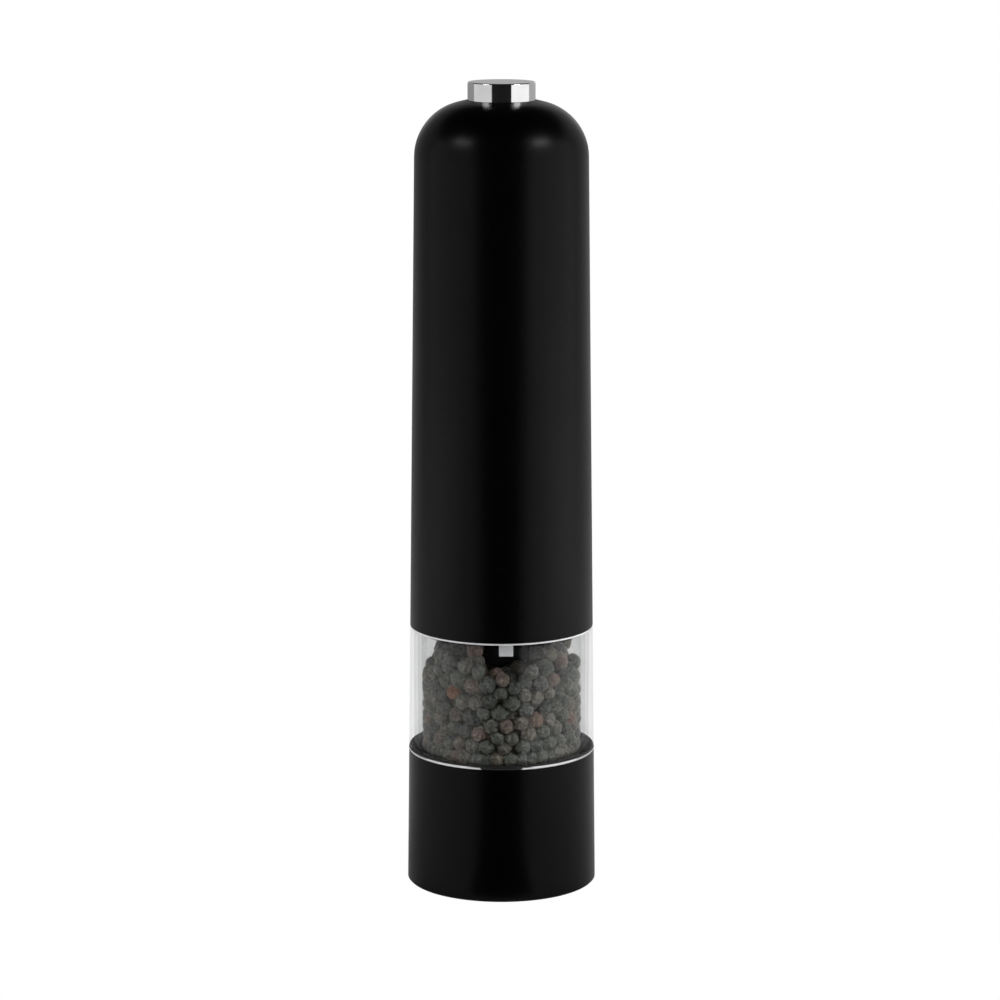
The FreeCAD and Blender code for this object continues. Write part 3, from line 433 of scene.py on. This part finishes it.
def heap_mesh(name, spots, sizes, shapes, tints, rng):
    """One mesh of many corns, each turned its own way."""
    points, faces, ridges, colours = [], [], [], []
    count = 0
    for spot, size, tint in zip(spots, sizes, tints):
        shape, sides, ridge = shapes[rng.integers(len(shapes))]
        turn = Matrix.Rotation(rng.uniform(0, 6.283), 3, Vector(rng.normal(size=3)).normalized())
        squeeze = np.array([1.0, rng.uniform(0.93, 1.0), rng.uniform(0.9, 1.0)])
        placed = (shape * squeeze * size * CORN_SWELL) @ np.array(turn.transposed()) + spot
        points.append(placed * MM)
        faces.append(sides + count)
        ridges.append(ridge)
        colours.append(np.full(len(shape), tint))
        count += len(shape)
    mesh = bpy.data.meshes.new(name)
    mesh.from_pydata(np.concatenate(points).tolist(), [], np.concatenate(faces).tolist())
    for word, values in (("corn_tint", colours), ("corn_ridge", ridges)):
        layer = mesh.attributes.new(word, "FLOAT", "POINT")
        layer.data.foreach_set("value", np.concatenate(values).astype(np.float32))
    mesh.shade_smooth()
    mesh.materials.append(skin)
    heap = new_object(name, mesh)
    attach(heap, "lower_body")


skin = corn_skin()
rng = np.random.default_rng(SEED)
noise.seed_set(SEED)  # noise_vector takes its offsets from the clock until it is given a seed
spots, sizes = settle(CORN_COUNT, rng)
tints = rng.uniform(0, 0.93, len(spots))
tints[rng.random(len(spots)) < ORANGE_SHARE] = 1.0
radial = np.hypot(spots[:, 0], spots[:, 1])
seen_depth = heap_top(spots[:, 0], spots[:, 1]) - SKIN_DEPTH
outer = (radial > SEEN_RADIUS) | (spots[:, 2] > seen_depth)
for name, chosen, level, first in (("corns_outer", outer, 4, 1), ("corns_inner", ~outer, 3, 31)):
    shapes = corn_shapes(level, SHAPES_EACH, first)
    heap_mesh(name, spots[chosen], sizes[chosen], shapes, tints[chosen], rng)


# ---- Stage: world, floor, lights, camera; sizes in metres ----


def seen_straight(tree):
    """1 for a ray from the camera that has met nothing but clear plastic, 0 for all others."""
    path = add(tree, "ShaderNodeLightPath").outputs
    bounces = calculate(tree, "ADD", path["Diffuse Depth"], path["Glossy Depth"])
    straight = calculate(tree, "LESS_THAN", bounces, 0.5)
    kind = calculate(tree, "MAXIMUM", path["Is Camera Ray"], path["Is Transmission Ray"])
    return calculate(tree, "MULTIPLY", straight, kind)


def studio_world():
    """White behind the object, and dark around it except for the soft boxes."""
    world = bpy.data.worlds.new("studio")
    bpy.context.scene.world = world
    world.use_nodes = True
    tree = world.node_tree
    tree.nodes.clear()
    dim, bright = (add(tree, "ShaderNodeBackground") for _ in range(2))
    for background, strength in ((dim, 0.012), (bright, 1.0)):
        background.inputs["Color"].default_value = WHITE
        background.inputs["Strength"].default_value = strength
    choose(tree, seen_straight(tree), dim, bright, add(tree, "ShaderNodeOutputWorld"))


def studio_floor():
    """A plain pale floor that the camera sees as white paper."""
    material, tree, shader = new_material("floor_paper")
    shader.inputs["Base Color"].default_value = (0.8, 0.8, 0.8, 1.0)
    shader.inputs["Roughness"].default_value = 0.9
    white = add(tree, "ShaderNodeEmission")
    white.inputs["Strength"].default_value = 1.0
    choose(tree, seen_straight(tree), shader, white, material_output(tree))
    edge = 6.0
    corners = [(-edge, -edge, 0), (edge, -edge, 0), (edge, edge, 0), (-edge, edge, 0)]
    floor = new_sheet("floor", corners, material)


def soft_box(name, azimuth, height, distance, size, radiance, aim=0.11, reflected=True):
    """An area light round the object; azimuth 0 is towards the camera, positive to its right."""
    light = bpy.data.lights.new(name, "AREA")
    light.shape = "RECTANGLE"
    light.size, light.size_y = size
    light.energy = radiance * math.pi * size[0] * size[1]
    lamp = new_object(name, light)
    lamp.visible_camera = False
    lamp.visible_transmission = False
    lamp.visible_glossy = reflected
    turn = math.radians(azimuth)
    lamp.location = (distance * math.sin(turn), -distance * math.cos(turn), height)
    way = Vector((0, 0, aim)) - lamp.location
    lamp.rotation_euler = way.to_track_quat("-Z", "Y").to_euler()


def studio_lights():
    """Tall boxes at both sides and behind; the fills only brighten, and show in no reflection."""
    for side, word, share in ((-1, "left", 0.74), (1, "right", 1.15)):
        soft_box("box_" + word, azimuth=side * 70, height=0.06, distance=0.7,
                 size=(1.05, 1.1), radiance=0.9 * share)
        soft_box("box_rim_" + word, azimuth=side * 140, height=0.2, distance=0.75,
                 size=(1.0, 0.9), radiance=0.36 * share)
        soft_box("box_high_" + word, azimuth=side * 60, height=0.66, distance=0.7,
                 size=(0.30, 0.14), radiance=10.0 * share, aim=0.19)
        soft_box("box_fill_" + word, azimuth=side * 78, height=0.15, distance=0.6,
                 size=(0.4, 0.4), radiance=6.0 * share, aim=0.06, reflected=False)
    soft_box("box_back", azimuth=180, height=0.34, distance=1.0,
             size=(0.9, 0.26), radiance=0.4, aim=0.2)
    soft_box("box_fill_front", azimuth=0, height=0.4, distance=0.9,
             size=(0.8, 0.6), radiance=1.1, aim=0.06, reflected=False)


def black_card():
    """A black card on the floor before the object, seen only in its reflections."""
    material, tree, shader = new_material("black_card")
    shader.inputs["Base Color"].default_value = (0.01, 0.01, 0.01, 1.0)
    shader.inputs["Roughness"].default_value = 0.9
    near, far = 0.03, 1.5
    height = 0.0004
    widening = math.tan(math.radians(24.0))
    corners = [(x, -y, height) for x, y in (
        (-near * widening, near), (near * widening, near),
        (far * widening, far), (-far * widening, far))]
    card = new_sheet("black_card", corners, material)
    card.visible_camera = False
    card.visible_transmission = False


def photo_camera():
    """A long lens at eye height, looking down a little."""
    place = (-0.0004, -0.95315, 0.28631)
    look_down = 10.833  # degrees
    camera = bpy.data.cameras.new("camera")
    camera.sensor_width = 36.0
    camera.lens = 130.88
    camera.clip_start = 0.01
    holder = new_object("camera", camera)
    holder.location = place
    holder.rotation_euler = (math.radians(90.0 - look_down), 0.0, 0.0)
    bpy.context.scene.camera = holder


studio_world()
studio_floor()
studio_lights()
black_card()
photo_camera()
bpy.context.scene.view_settings.view_transform = "Standard"
